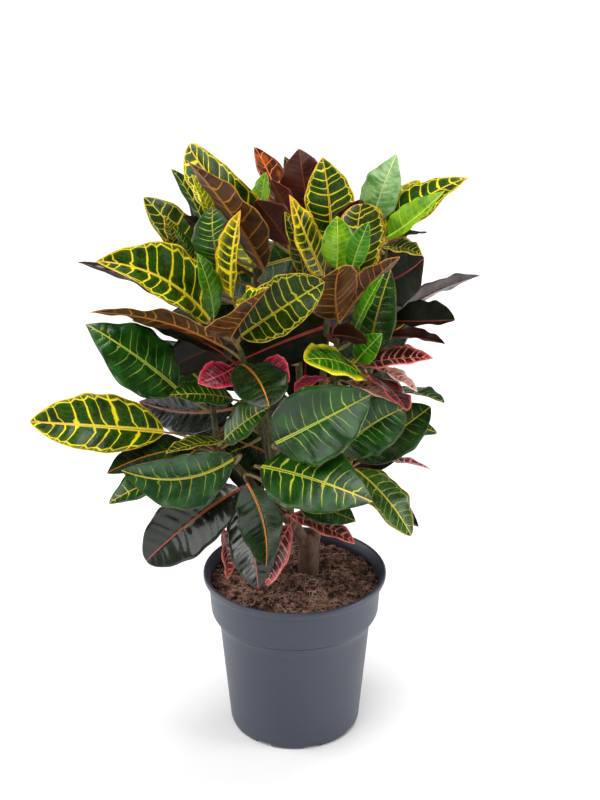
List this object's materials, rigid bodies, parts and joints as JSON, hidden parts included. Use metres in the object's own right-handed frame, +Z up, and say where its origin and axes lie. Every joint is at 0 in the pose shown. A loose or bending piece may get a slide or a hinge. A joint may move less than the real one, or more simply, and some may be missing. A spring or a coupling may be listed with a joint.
{
  "type": "potted croton plant",
  "caption": "Bushy croton with yellow-veined dark, green, red and gold leaves, on leafy stems from a forked trunk in a round tapered nursery pot.",
  "frame": {"origin": "centre of the pot's flat base, on the surface it stands on", "axes": "+Z up the pot's axis, -Y towards the side shown in front, +X to its right"},
  "size_m": [0.4852, 0.3573, 0.6752],
  "materials": {
    "pot_plastic": "satin",
    "potting_soil": "matte",
    "bark": "matte",
    "leaf_gold_green": "satin",
    "leaf_green": "satin",
    "leaf_dusky": "satin",
    "leaf_red": "satin"
  },
  "bodies": {
    "root": {"pot": "pot_plastic", "soil": "potting_soil", "trunk": "bark", "stem_low_left": "leaf_green", "stem_front_left": "leaf_dusky", "stem_low_front": "leaf_green", "stem_top_left": "leaf_green", "stem_back_left": "leaf_green", "stem_front_right": "leaf_red", "stem_right": "leaf_dusky", "stem_top_middle": "leaf_gold_green", "stem_back_right": "leaf_green", "stem_back_middle": "leaf_gold_green"}
  },
  "joints": []
}
